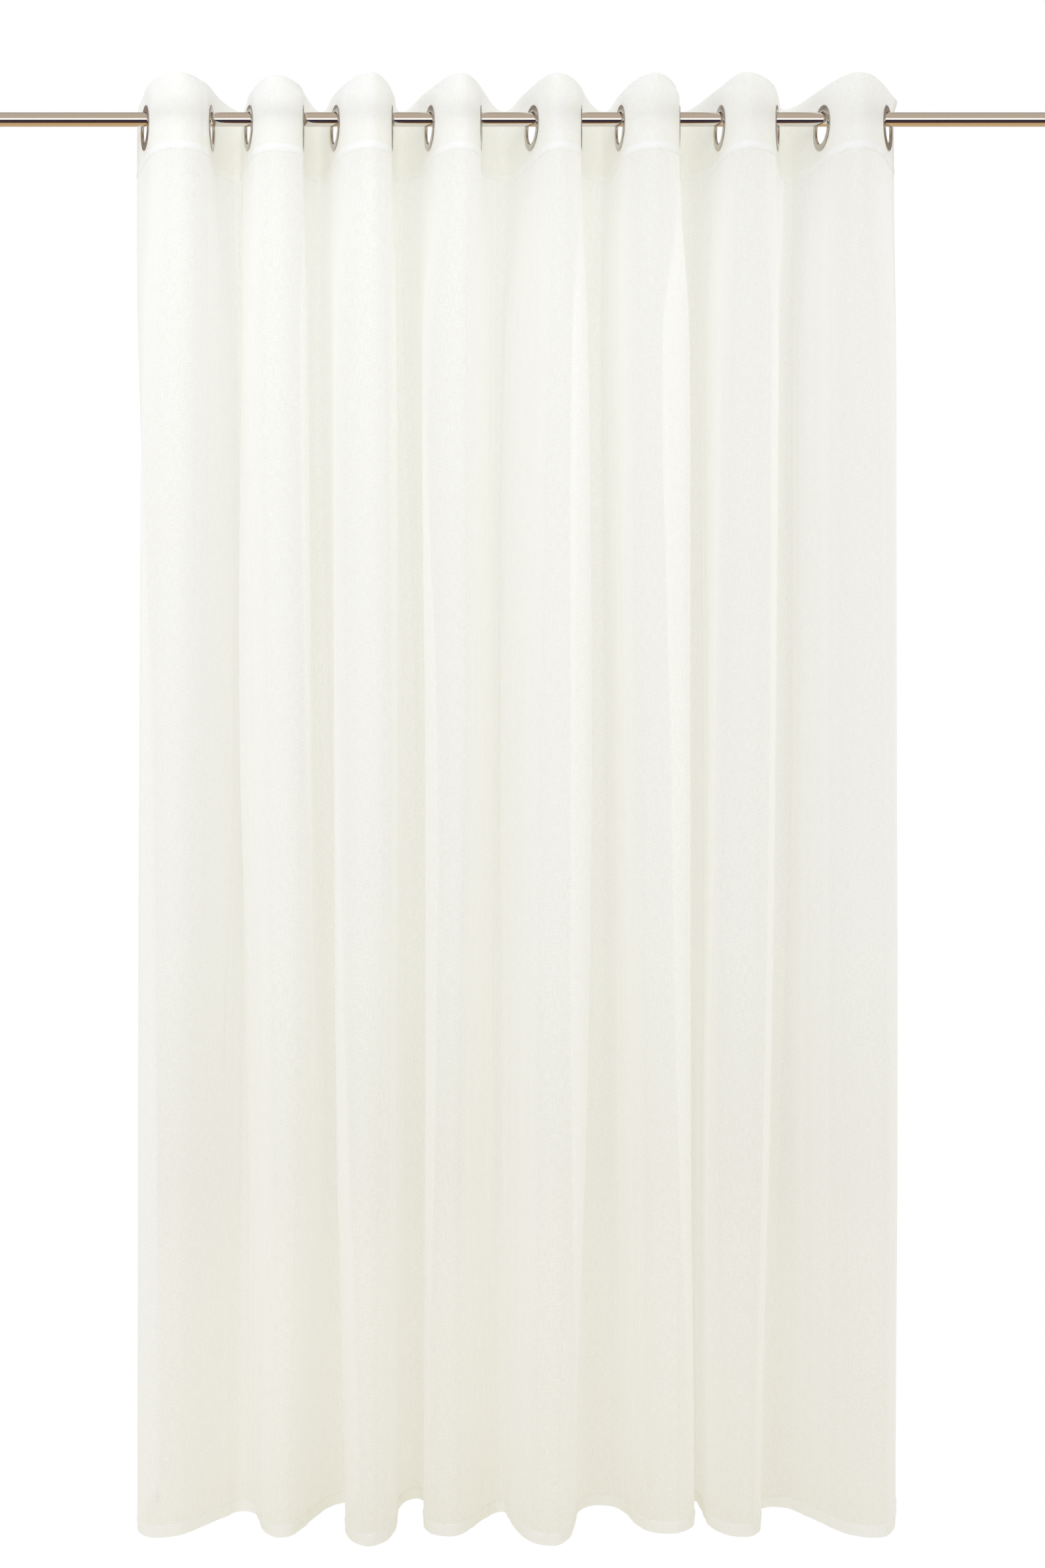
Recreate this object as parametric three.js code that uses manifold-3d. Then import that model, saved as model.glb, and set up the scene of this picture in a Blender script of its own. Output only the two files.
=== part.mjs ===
// A ready-made eyelet curtain of sheer voile, hanging in folds from a plain round rod.
// Millimetres, +Z up. The curtain's front faces -Y and its width runs along X.
// The origin is on the rod's axis, halfway along the rod.

import * as THREE from 'three';
import { mergeVertices } from 'three/addons/utils/BufferGeometryUtils.js';
import Module from 'manifold-3d';

// Rod
const ROD_DIAMETER = 21.3;
const ROD_LENGTH = 1700;
const ROD_SIDES = 24;

// Cloth. Laid flat it is 2975 wide and 2250 long.
const DROP = 2250;
const TOP_EDGE_Z = 45;
const HEM_Z = TOP_EDGE_Z - DROP;
const HEADING_DEPTH = 116;
const HEM_DEPTH = 19;
const SEAM_STEP = 2;
const CLOTH_THICKNESS = 1;
const TURNED_THICKNESS = 1.4;
const LEFT_EDGE_TO_EYELET = 75;
const RIGHT_EDGE_TO_EYELET = 50;

// Eyelets, each a pair of pressed rings with a barrel through the cloth
const GAP = 0.3;
const EYELET_INSIDE = 49;
const EYELET_OUTSIDE = 69;
const EYELET_BARREL = 58;
const EYELET_THICKNESS = 4.2;
const EYELET_RIM = 3.2;
const HOLE_DIAMETER = 60;
const EYELET_SIDES = 18;
const EYELET_Z = ROD_DIAMETER / 2 + GAP - EYELET_INSIDE / 2;
const EYELET_TOP_Z = EYELET_Z + EYELET_OUTSIDE / 2 + 1;

// Heights at which the folds are set out. The heading keeps its own section down to HEADING_END.
const HEADING_END = -95;
const HEIGHTS = { heading: HEADING_END, knee: -340, middle: -1000, low: -1600, hem: HEM_Z };
const ROWS = [TOP_EDGE_Z, (TOP_EDGE_Z + EYELET_TOP_Z) / 2, EYELET_TOP_Z, TOP_EDGE_Z - HEADING_DEPTH,
  TOP_EDGE_Z - HEADING_DEPTH - SEAM_STEP, -170, HEIGHTS.knee, -620, HEIGHTS.middle, HEIGHTS.low,
  -1950, HEM_Z + HEM_DEPTH + SEAM_STEP, HEM_Z + HEM_DEPTH, HEM_Z];

// Half of the straight run on each side of a fold. The eyelet's flange needs it in the heading, and
// at the free top edge above the flanges it is nearly gone.
const STRAIGHT_RUN = { heading: 38, middle: 24, hem: 9 };
const TOP_EDGE_RUN = 12;

// Where each side of a fold crosses the plane of the rod, as X in each height's section. Rows run
// from left to right, one for each eyelet: a front fold lies between rows 1 and 2, 3 and 4, and so on.
const SIDE_X = [
  { heading: -594, knee: -600, middle: -598, low: -598, hem: -598 },
  { heading: -490, knee: -483, middle: -478, low: -476, hem: -476 },
  { heading: -431, knee: -435, middle: -433, low: -418, hem: -416 },
  { heading: -346, knee: -345, middle: -337, low: -328, hem: -330 },
  { heading: -295, knee: -299, middle: -294, low: -284, hem: -267 },
  { heading: -206, knee: -203, middle: -201, low: -201, hem: -198 },
  { heading: -146, knee: -157, middle: -143, low: -146, hem: -153 },
  { heading: -66, knee: -66, middle: -64, low: -66, hem: -60 },
  { heading: 15, knee: 4, middle: -14, low: -18, hem: -21 },
  { heading: 92, knee: 90, middle: 92, low: 87, hem: 84 },
  { heading: 154, knee: 152, middle: 160, low: 166, hem: 171 },
  { heading: 246, knee: 242, middle: 250, low: 256, hem: 268 },
  { heading: 311, knee: 301, middle: 296, low: 289, hem: 288 },
  { heading: 401, knee: 399, middle: 394, low: 384, hem: 371 },
  { heading: 472, knee: 462, middle: 460, low: 458, hem: 457 },
  { heading: 575, knee: 586, middle: 589, low: 590, hem: 587 },
];

// How far each of those sides leans from straight back, in degrees. A side that leans the other way,
// below 0, is tucked in behind its front fold.
const SIDE_LEAN = [
  { heading: 21, knee: 15, middle: 0, low: -5, hem: -8 },
  { heading: -2, knee: 10, middle: 25, low: 35, hem: 40 },
  { heading: 19, knee: 17, middle: 27, low: 22, hem: 16 },
  { heading: -6, knee: -16, middle: -15, low: 3, hem: 20 },
  { heading: 18, knee: 10, middle: 0, low: -12, hem: -18 },
  { heading: -3, knee: -10, middle: -11, low: -10, hem: -5 },
  { heading: 16, knee: 5, middle: -17, low: -17, hem: -8 },
  { heading: 0, knee: 8, middle: 15, low: 25, hem: 32 },
  { heading: 18, knee: 30, middle: 32, low: 25, hem: 13 },
  { heading: 2, knee: -16, middle: -30, low: -27, hem: 5 },
  { heading: 10, knee: 13, middle: 12, low: 16, hem: 16 },
  { heading: 3, knee: -26, middle: -24, low: -20, hem: -4 },
  { heading: 9, knee: 10, middle: 2, low: 0, hem: 5 },
  { heading: 12, knee: 2, middle: 0, low: -6, hem: -6 },
  { heading: 13, knee: 22, middle: 26, low: 32, hem: 36 },
  { heading: 22, knee: 13, middle: 11, low: 11, hem: 11 },
];

// The same two values for the free top edge, where the folds are narrower and lean more
const TOP_EDGE = [
  { x: -594, lean: 19 },
  { x: -488, lean: 7 },
  { x: -426, lean: 22 },
  { x: -346, lean: 4 },
  { x: -291, lean: 24 },
  { x: -206, lean: 5 },
  { x: -149, lean: 28 },
  { x: -62, lean: 12 },
  { x: 8, lean: 22 },
  { x: 95, lean: 12 },
  { x: 159, lean: 16 },
  { x: 243, lean: 10 },
  { x: 304, lean: 21 },
  { x: 400, lean: 15 },
  { x: 467, lean: 21 },
  { x: 577, lean: 26 },
];

// The 8 front crests and the 7 back valleys between them, from left to right: how far each stands
// from the plane of the rod as Y, and in shift how far it lies right of the middle of its fold.
const TURN_Y = [
  { heading: -80, middle: -76, hem: -75 },
  { heading: 92, middle: 84, hem: 32 },
  { heading: -68, middle: -72, hem: -74 },
  { heading: 94, middle: 80, hem: 68 },
  { heading: -79, middle: -82, hem: -108 },
  { heading: 92, middle: 82, hem: 86 },
  { heading: -76, middle: -72, hem: -70 },
  { heading: 92, middle: 84, hem: 29 },
  { heading: -77, middle: -78, hem: -106 },
  { heading: 93, middle: 74, hem: 57 },
  { heading: -77, middle: -70, hem: -59 },
  { heading: 92, middle: 80, hem: 75 },
  { heading: -80, middle: -75, hem: -72 },
  { heading: 82, middle: 72, hem: 50 },
  { heading: -80, middle: -76, hem: -75 },
];
const TURN_SHIFT = [
  { heading: 16, hem: -27 },
  { heading: 0, hem: 0 },
  { heading: 8, hem: 2 },
  { heading: -10, hem: 20 },
  { heading: 18, hem: -1 },
  { heading: -22, hem: 4 },
  { heading: 14, hem: -9 },
  { heading: -4, hem: 9 },
  { heading: 3, hem: 14 },
  { heading: 6, hem: -3 },
  { heading: 4, hem: 4 },
  { heading: -16, hem: 0 },
  { heading: -9, hem: 12 },
  { heading: -11, hem: -12 },
  { heading: -6, hem: 20 },
];

// How round a turn is: the share of its width and depth that its curve's handles take
const ROUNDNESS = { heading: 0.42, knee: 0.5, hem: 0.56 };
const LEAST_REACH = 0.32;
const STEPS_PER_TURN_HALF = 4;

const wasm = await Module();
wasm.setup();

// Value of a row of a table at height z, on a smooth curve through the heights that the row names
function atHeight(row, z) {
  const knots = Object.keys(row).map((key) => ({ z: HEIGHTS[key], value: row[key] }));
  if (z >= knots[0].z) {
    return knots[0].value;
  }
  const last = knots.length - 1;
  const next = Math.min(knots.findIndex((knot) => knot.z <= z), last);
  const slope = (i) => {
    if (i === 0 || i === last) {
      return 0;
    }
    return (knots[i + 1].value - knots[i - 1].value) / (knots[i + 1].z - knots[i - 1].z);
  };
  const from = knots[next - 1];
  const to = knots[next];
  const span = to.z - from.z;
  const t = (z - from.z) / span;
  return from.value * (1 + 2 * t) * (1 - t) ** 2 + slope(next - 1) * span * t * (1 - t) ** 2
    + to.value * t * t * (3 - 2 * t) + slope(next) * span * t * t * (t - 1);
}

// The side of a fold at height z: the ends of its straight run, in the order of the cloth
function sideAt(index, z) {
  const free = THREE.MathUtils.smoothstep(z, EYELET_TOP_Z, TOP_EDGE_Z);
  const top = TOP_EDGE[index];
  const lean = THREE.MathUtils.degToRad(
    THREE.MathUtils.lerp(atHeight(SIDE_LEAN[index], z), top.lean, free));
  const backwards = index % 2 === 0 ? -1 : 1;
  const along = new THREE.Vector2(Math.sin(lean), backwards * Math.cos(lean));
  const x = THREE.MathUtils.lerp(atHeight(SIDE_X[index], z), top.x, free);
  const middle = new THREE.Vector2(x, 0);
  const run = THREE.MathUtils.lerp(atHeight(STRAIGHT_RUN, z), TOP_EDGE_RUN, free);
  return {
    along,
    middle,
    start: middle.clone().addScaledVector(along, -run),
    end: middle.clone().addScaledVector(along, run),
  };
}

// Half of a turn, from the end of a side to the crest or valley, as a curve. Sign is 1 where the
// side comes before the turn in the order of the cloth, and -1 where it comes after.
function halfTurn(point, along, turn, width, sign, roundness) {
  const rise = Math.abs(turn.y - point.y);
  const reach = Math.max(Math.abs(turn.x - point.x), LEAST_REACH * width);
  const sideHandle = point.clone().addScaledVector(along, sign * roundness * rise);
  const turnHandle = new THREE.Vector2(turn.x - sign * roundness * reach, turn.y);
  return new THREE.CubicBezierCurve(point, sideHandle, turnHandle, turn);
}

// The middle line of the cloth at height z, from its left edge to its right edge, as seen from above
function sectionAt(z) {
  const sides = SIDE_X.map((row, index) => sideAt(index, z));
  const roundness = atHeight(ROUNDNESS, z);
  const first = sides[0];
  const last = sides[sides.length - 1];
  const leftEdge = first.middle.clone().addScaledVector(first.along, -LEFT_EDGE_TO_EYELET);
  const rightEdge = last.middle.clone().addScaledVector(last.along, RIGHT_EDGE_TO_EYELET);
  const line = [leftEdge, first.start];
  TURN_Y.forEach((row, index) => {
    const before = sides[index];
    const after = sides[index + 1];
    const width = Math.abs(after.start.x - before.end.x);
    const centre = (before.middle.x + after.middle.x) / 2;
    const turn = new THREE.Vector2(centre + atHeight(TURN_SHIFT[index], z), atHeight(row, z));
    const inward = halfTurn(before.end, before.along, turn, width, 1, roundness);
    const outward = halfTurn(after.start, after.along, turn, width, -1, roundness);
    line.push(...inward.getPoints(STEPS_PER_TURN_HALF));
    line.push(...outward.getPoints(STEPS_PER_TURN_HALF).reverse().slice(1));
  });
  line.push(last.end, rightEdge);
  return line;
}

// Moves a section's line sideways by a distance, keeping its straight runs parallel
function offsetLine(line, distance) {
  const directions = line.slice(1).map((point, i) => point.clone().sub(line[i]).normalize());
  return line.map((point, i) => {
    const before = directions[Math.max(i - 1, 0)];
    const after = directions[Math.min(i, directions.length - 1)];
    const bisector = before.clone().add(after).normalize();
    const reach = distance / bisector.dot(before);
    return new THREE.Vector2(point.x - bisector.y * reach, point.y + bisector.x * reach);
  });
}

// Thickness of the cloth in a row: the heading and the hem are turned over and sewn down
function thicknessAt(z) {
  const turned = z >= TOP_EDGE_Z - HEADING_DEPTH || z <= HEM_Z + HEM_DEPTH;
  return turned ? TURNED_THICKNESS : CLOTH_THICKNESS;
}

// The hanging cloth as one closed sheet, before its holes are punched
function clothGeometry() {
  const sheet = ROWS.map((z) => {
    const line = sectionAt(z);
    const half = thicknessAt(z) / 2;
    return { z, front: offsetLine(line, -half), back: offsetLine(line, half) };
  });
  const columns = sheet[0].front.length;
  const positions = [];
  sheet.forEach(({ z, front, back }) => {
    front.forEach((point) => positions.push(point.x, point.y, z));
    back.forEach((point) => positions.push(point.x, point.y, z));
  });
  const front = (row, column) => row * 2 * columns + column;
  const back = (row, column) => front(row, column) + columns;
  const index = [];
  const addQuad = (a, b, c, d) => index.push(a, b, c, a, c, d);
  const lastRow = ROWS.length - 1;
  const lastColumn = columns - 1;
  for (let row = 0; row < lastRow; row += 1) {
    for (let column = 0; column < lastColumn; column += 1) {
      addQuad(front(row, column), front(row + 1, column),
        front(row + 1, column + 1), front(row, column + 1));
      addQuad(back(row, column), back(row, column + 1),
        back(row + 1, column + 1), back(row + 1, column));
    }
    addQuad(front(row, 0), back(row, 0), back(row + 1, 0), front(row + 1, 0));
    addQuad(front(row, lastColumn), front(row + 1, lastColumn),
      back(row + 1, lastColumn), back(row, lastColumn));
  }
  for (let column = 0; column < lastColumn; column += 1) {
    addQuad(front(0, column), front(0, column + 1), back(0, column + 1), back(0, column));
    addQuad(front(lastRow, column), back(lastRow, column),
      back(lastRow, column + 1), front(lastRow, column + 1));
  }
  const geometry = new THREE.BufferGeometry();
  geometry.setAttribute('position', new THREE.Float32BufferAttribute(positions, 3));
  geometry.setIndex(index);
  return geometry;
}

// Turns and moves a shape made around the Y axis so that its axis crosses the side of a fold squarely
function placeAtEyelet(geometry, index) {
  const { along, middle } = sideAt(index, EYELET_Z);
  geometry.rotateZ(-Math.PI / 2);
  geometry.rotateZ(Math.atan2(along.y, along.x) + Math.PI / 2);
  geometry.translate(middle.x, middle.y, EYELET_Z);
  return geometry;
}

// One eyelet: two flanges, 0.3 clear of the cloth on each side, joined by a barrel through its hole
function eyeletGeometry(index) {
  const inside = EYELET_INSIDE / 2;
  const outside = EYELET_OUTSIDE / 2;
  const barrel = EYELET_BARREL / 2;
  const seat = TURNED_THICKNESS / 2 + GAP;
  const face = EYELET_THICKNESS / 2;
  const rim = EYELET_RIM / 2;
  const profile = [
    [inside, -face], [outside, -rim], [outside, -seat], [barrel, -seat],
    [barrel, seat], [outside, seat], [outside, rim], [inside, face], [inside, -face],
  ].map(([radius, height]) => new THREE.Vector2(radius, height));
  return placeAtEyelet(new THREE.LatheGeometry(profile, EYELET_SIDES), index);
}

function toManifold(geometry) {
  const bare = geometry.clone();
  bare.deleteAttribute('normal');
  bare.deleteAttribute('uv');
  const merged = mergeVertices(bare);
  return new wasm.Manifold(new wasm.Mesh({
    numProp: 3,
    vertProperties: new Float32Array(merged.getAttribute('position').array),
    triVerts: new Uint32Array(merged.getIndex().array),
  }));
}

function toGeometry(manifold) {
  const mesh = manifold.getMesh();
  const geometry = new THREE.BufferGeometry();
  geometry.setAttribute('position', new THREE.BufferAttribute(mesh.vertProperties, 3));
  geometry.setIndex(new THREE.BufferAttribute(mesh.triVerts, 1));
  geometry.computeVertexNormals();
  return geometry;
}

// The cloth with a hole punched through the heading for each eyelet
function curtainGeometry() {
  let cloth = toManifold(clothGeometry());
  SIDE_X.forEach((row, index) => {
    const punch = new THREE.CylinderGeometry(
      HOLE_DIAMETER / 2, HOLE_DIAMETER / 2, EYELET_THICKNESS, EYELET_SIDES);
    cloth = cloth.subtract(toManifold(placeAtEyelet(punch, index)));
  });
  return toGeometry(cloth);
}

function addPart(group, name, geometry, material) {
  const mesh = new THREE.Mesh(geometry, material);
  mesh.name = name;
  group.add(mesh);
  return mesh;
}

const curtainOnRod = new THREE.Group();

addPart(curtainOnRod, 'curtain', curtainGeometry(),
  new THREE.MeshStandardMaterial({ color: 0xf4f1e6, roughness: 0.9, metalness: 0 }));

SIDE_X.forEach((row, index) => {
  const number = String(index + 1).padStart(2, '0');
  addPart(curtainOnRod, `eyelet_${number}`, eyeletGeometry(index),
    new THREE.MeshStandardMaterial({ color: 0xb9b6b0, roughness: 0.25, metalness: 1 }));
});

const rodShape = new THREE.CylinderGeometry(ROD_DIAMETER / 2, ROD_DIAMETER / 2, ROD_LENGTH, ROD_SIDES);
const rod = addPart(curtainOnRod, 'rod', rodShape,
  new THREE.MeshStandardMaterial({ color: 0xa8a39b, roughness: 0.3, metalness: 1 }));
rod.rotation.z = Math.PI / 2;

export default curtainOnRod;
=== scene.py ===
"""Looks of a sheer voile eyelet curtain that hangs from a plain steel rod.

Metres, +Z up. The curtain's front faces -Y, and the origin is on the rod's axis, halfway along it.
"""

import math

import bpy
import numpy as np
from bpy.props import FloatProperty, FloatVectorProperty, IntProperty, PointerProperty
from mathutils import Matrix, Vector


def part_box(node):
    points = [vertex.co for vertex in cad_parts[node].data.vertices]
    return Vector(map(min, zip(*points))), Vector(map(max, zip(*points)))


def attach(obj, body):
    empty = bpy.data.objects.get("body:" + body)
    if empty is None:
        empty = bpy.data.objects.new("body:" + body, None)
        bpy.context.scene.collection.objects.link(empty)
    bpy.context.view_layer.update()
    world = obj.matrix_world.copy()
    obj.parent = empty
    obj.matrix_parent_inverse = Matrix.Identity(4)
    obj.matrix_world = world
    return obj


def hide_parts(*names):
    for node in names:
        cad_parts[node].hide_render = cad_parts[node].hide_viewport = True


bl_info = {
    "name": "Voile eyelet curtain",
    "version": (1, 0, 0),
    "blender": (4, 5, 0),
    "location": "3D View > Sidebar > Curtain",
    "description": "Builds the cloth, eyelets, seams, rod and studio of a sheer eyelet curtain",
    "category": "Add Mesh",
}

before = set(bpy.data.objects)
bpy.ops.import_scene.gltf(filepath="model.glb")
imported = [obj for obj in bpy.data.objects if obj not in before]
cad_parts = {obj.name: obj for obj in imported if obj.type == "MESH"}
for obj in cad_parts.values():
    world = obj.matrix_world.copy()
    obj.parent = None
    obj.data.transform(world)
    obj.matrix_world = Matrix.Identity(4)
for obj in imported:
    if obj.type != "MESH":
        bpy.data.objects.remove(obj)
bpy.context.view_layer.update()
ROOT = "root"
MM = 0.001

# Cloth, as the frame's own solid has it
TOP_EDGE_Z = 0.045
DROP = 2.25
HEM_Z = TOP_EDGE_Z - DROP
HEADING_DEPTH = 0.116
SEAM_Z = TOP_EDGE_Z - HEADING_DEPTH
HEM_DEPTH = 0.019
HEM_TOP_Z = HEM_Z + HEM_DEPTH
EYELET_STEP = 0.19
LEFT_EDGE_TO_EYELET = 0.075
RIGHT_EDGE_TO_EYELET = 0.050
SIDE_HEM = 0.015
HEADING_TUCK = 0.011
HEM_TUCK = 0.016
SEAM_INSET = 0.003

# Eyelets and rod, from the frame where its boxes give them
ROD_LOW, ROD_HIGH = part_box("rod")
ROD_RADIUS = (ROD_HIGH.z - ROD_LOW.z) / 2
ROD_LENGTH = ROD_HIGH.x - ROD_LOW.x
EYELET_LOW, EYELET_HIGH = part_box("eyelet_01")
EYELET_Z = (EYELET_LOW.z + EYELET_HIGH.z) / 2
EYELET_OUTSIDE = (EYELET_HIGH.z - EYELET_LOW.z) / 2
EYELET_INSIDE = 0.0245
EYELET_BARREL = 0.029
EYELET_TOP_Z = EYELET_Z + EYELET_OUTSIDE + MM
HOLE_RADIUS = 0.030

ROD_STATIONS = 41

# Heights at which the folds are set out
HEIGHTS = {"heading": -0.095, "knee": -0.34, "middle": -1.0, "low": -1.6, "hem": HEM_Z}

# Half the straight part of a fold's side in metres, how round its turn is, and the least share of
# the fold's width that a turn takes up
STRAIGHT_RUN = {"heading": 0.038, "middle": 0.024, "hem": 0.009}
TOP_EDGE_RUN = 0.012
ROUNDNESS = {"heading": 0.42, "knee": 0.5, "hem": 0.56}
LEAST_REACH = 0.32


def rows_of(columns, *rows):
    """A table as one dictionary for each row, with the columns named once."""
    return [dict(zip(columns, row)) for row in rows]


# Where each side of a fold crosses the plane of the rod, in mm along X, from left to right
SIDE_X = rows_of(
    ("heading", "knee", "middle", "low", "hem"),
    (-594, -600, -598, -598, -598),
    (-490, -483, -478, -476, -476),
    (-431, -435, -433, -418, -416),
    (-346, -345, -337, -328, -330),
    (-295, -299, -294, -284, -267),
    (-206, -203, -201, -201, -198),
    (-146, -157, -143, -146, -153),
    (-66, -66, -64, -66, -60),
    (15, 4, -14, -18, -21),
    (92, 90, 92, 87, 84),
    (154, 152, 160, 166, 171),
    (246, 242, 250, 256, 268),
    (311, 301, 296, 289, 288),
    (401, 399, 394, 384, 371),
    (472, 462, 460, 458, 457),
    (575, 586, 589, 590, 587),
)

# How far each of those sides leans from straight back, in degrees
SIDE_LEAN = rows_of(
    ("heading", "knee", "middle", "low", "hem"),
    (21, 15, 0, -5, -8),
    (-2, 10, 25, 35, 40),
    (19, 17, 27, 22, 16),
    (-6, -16, -15, 3, 20),
    (18, 10, 0, -12, -18),
    (-3, -10, -11, -10, -5),
    (16, 5, -17, -17, -8),
    (0, 8, 15, 25, 32),
    (18, 30, 32, 25, 13),
    (2, -16, -30, -27, 5),
    (10, 13, 12, 16, 16),
    (3, -26, -24, -20, -4),
    (9, 10, 2, 0, 5),
    (12, 2, 0, -6, -6),
    (13, 22, 26, 32, 36),
    (22, 13, 11, 11, 11),
)

# The same two values at the free top edge
TOP_EDGE = rows_of(
    ("x", "lean"),
    (-594, 19), (-488, 7), (-426, 22), (-346, 4), (-291, 24), (-206, 5), (-149, 28), (-62, 12),
    (8, 22), (95, 12), (159, 16), (243, 10), (304, 21), (400, 15), (467, 21), (577, 26),
)

# The front crests and the valleys between them: how far each stands from the rod's plane, in mm
TURN_Y = rows_of(
    ("heading", "middle", "hem"),
    (-80, -76, -75),
    (92, 84, 32),
    (-68, -72, -74),
    (94, 80, 68),
    (-79, -82, -108),
    (92, 82, 86),
    (-76, -72, -70),
    (92, 84, 29),
    (-77, -78, -106),
    (93, 74, 57),
    (-77, -70, -59),
    (92, 80, 75),
    (-80, -75, -72),
    (82, 72, 50),
    (-80, -76, -75),
)
SPANS = len(TURN_Y)

# How far each of those lies right of the middle of its fold, in mm
TURN_SHIFT = rows_of(
    ("heading", "hem"),
    (16, -27), (0, 0), (8, 2), (-10, 20), (18, -1), (-22, 4), (14, -9), (-4, 9),
    (3, 14), (6, -3), (4, 4), (-16, 0), (-9, 12), (-11, -12), (-6, 20),
)

# Creases pulled or pressed along the folds. Each names its span, its share of the span's width at
# each height, how far it goes towards the cloth's back and its half width, in mm, and the height
# where it starts and ends, in mm. A negative depth is a ridge.
CREASES = rows_of(
    ("span", "heading", "knee", "middle", "low", "hem", "depth", "half", "start", "end"),
    (0, 0.03, 0.24, 0.28, 0.28, 0.28, -1.2, 5, -120, -2300),
    (0, 0.82, 0.90, 0.90, 0.93, 0.92, 1.7, 4, 60, -1300),
    (1, 0.50, 0.50, 0.27, 0.03, -0.05, 2.1, 4, -60, -1500),
    (2, 0.02, 0.16, 0.28, 0.19, 0.19, -1.2, 5, -60, -2300),
    (2, 0.72, 0.68, 0.73, 0.77, 0.80, -1.0, 5, -60, -2300),
    (3, 0.48, 0.48, 0.46, 0.40, 0.36, -1.0, 4, 0, -2300),
    (4, 0.24, 0.26, 0.25, 0.28, 0.28, -0.8, 5, -300, -1300),
    (4, 0.74, 0.69, 0.75, 0.74, 0.68, -1.2, 5, 0, -2300),
    (5, 0.50, 0.55, 0.55, 0.45, 0.46, 1.8, 4, 0, -1200),
    (6, 0.20, 0.28, 0.34, 0.34, 0.32, -1.6, 5, -420, -2300),
    (6, 0.80, 0.82, 0.83, 0.80, 0.80, -1.2, 5, 0, -2300),
    (7, 0.34, 0.30, 0.28, 0.25, 0.24, 1.0, 5, 0, -1100),
    (7, 0.50, 0.50, 0.46, 0.44, 0.42, 1.6, 5, 0, -1500),
    (8, 0.60, 0.58, 0.575, 0.59, 0.67, 1.3, 4, -60, -700),
    (8, 0.62, 0.62, 0.61, 0.62, 0.68, -1.0, 5, -560, -2300),
    (8, 0.30, 0.35, 0.37, 0.33, 0.30, -0.6, 7, -300, -2300),
    (9, 0.52, 0.53, 0.50, 0.44, 0.40, 1.3, 4, 0, -1500),
    (10, 0.30, 0.30, 0.24, 0.18, 0.12, -0.8, 6, -60, -2300),
    (10, 0.60, 0.545, 0.59, 0.63, 0.59, 1.3, 4, -60, -900),
    (10, 0.64, 0.60, 0.62, 0.66, 0.62, -1.0, 5, -700, -2300),
    (11, 0.48, 0.74, 0.79, 0.84, 0.90, 1.6, 4, 0, -2300),
    (12, 0.15, 0.26, 0.23, 0.18, 0.10, -1.0, 5, -300, -2300),
    (12, 0.40, 0.40, 0.43, 0.46, 0.46, 0.8, 5, -60, -1200),
    (12, 0.66, 0.69, 0.72, 0.70, 0.64, -1.2, 5, -60, -2300),
    (13, 0.52, 0.60, 0.60, 0.50, 0.44, 1.6, 4, 0, -1800),
    (14, 0.13, 0.20, 0.20, 0.19, 0.19, -0.9, 6, -60, -2300),
    (14, 0.49, 0.43, 0.42, 0.44, 0.44, 1.0, 6, -60, -2300),
    (14, 0.74, 0.69, 0.72, 0.74, 0.74, 1.0, 5, 60, -1000),
    (7, -0.60, -0.42, 0.12, 0.30, 0.50, 1.6, 6, -620, -1050),
    (7, -0.60, -0.42, -0.30, -0.20, 0.20, 1.4, 6, -1480, -2080),
)

# A crease fades in and out over this height
CREASE_FADE = 0.12

# Ripples across the cloth: their height in mm, their rate in radians a metre, and how far and how
# fast they wander. The waves run over the hanging cloth, and the puckers along the sewn lines.
RIPPLE = ("height", "rate", "wander", "wander_rate", "wander_start")
WAVES = rows_of(RIPPLE, (0.315, 118, 1.3, 2.1, 0), (0.21, 203, 2.0, 1.3, 1))
PUCKERS = rows_of(RIPPLE, (0.35, 371, 1.7, 43, 0), (0.28, 613, 2.3, 29, 0))
WAVES_START = 0.05
WAVES_FULL = 0.30

# Marks of the fold lines that were pressed across the heading: the span, the share of its width,
# and the mark's height and half width in mm
PRESSED_MARKS = rows_of(
    ("span", "share", "height", "half"),
    (0, 0.50, -22, 30), (2, 0.52, -14, 34), (4, 0.50, -30, 26), (6, 0.46, -20, 30),
    (8, 0.55, -34, 30), (10, 0.45, -18, 34), (12, 0.48, -26, 36), (14, 0.50, -32, 30),
)
MARK_DEPTH = 0.7
MARK_HALF_HEIGHT = 4 * MM
MARK_SLOPE = 0.06

# The rings hold the cloth flat between their flanges, and leave it free further out
HELD_RADIUS = 0.036
HELD_FADE = 0.014

# A turned edge is thicker by this many mm, and its sewn line is drawn in over this height
TURNED_EDGE = 0.9
DRAWN_IN = 5 * MM
SEAM_REACH = 0.03

# One stitch: the place of each of its rings along it, how far that one stands out of the cloth,
# and its size, as shares of the thread's radius. A stitch fills this share of its step.
STITCH_RINGS = ((0.0, -0.4, 0.6), (0.5, 0.6, 1.0), (1.0, -0.4, 0.6))
STITCH_SHARE = 0.72
STITCH_INSET = 1.5 * MM

# Steps of the cloth's mesh
FOLD_STEPS = 20
COLUMN_STEP_AT_EYELET = 0.0042
COLUMNS_AT_EYELET = 8
COLUMNS_BETWEEN = 41
COLUMNS_AT_LEFT_EDGE = 18
COLUMNS_AT_RIGHT_EDGE = 13
COLUMNS_IN_SIDE_HEM = 4
ROWS_IN_TURNED_HEADING = 20
ROWS_IN_TUCK = 3
ROW_STEP_IN_HEADING = 0.0056
ROW_STEP_BELOW = 0.049

# Rows beside a sewn line, in mm above it, and rows beside a folded edge
SEAM_ROWS = (7.5, 4.5, 2.2, 0.7, -0.7, -2.2, -5.0)
NIB = 0.3 * MM
FOLDED_EDGE = 1.4 * MM

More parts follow.
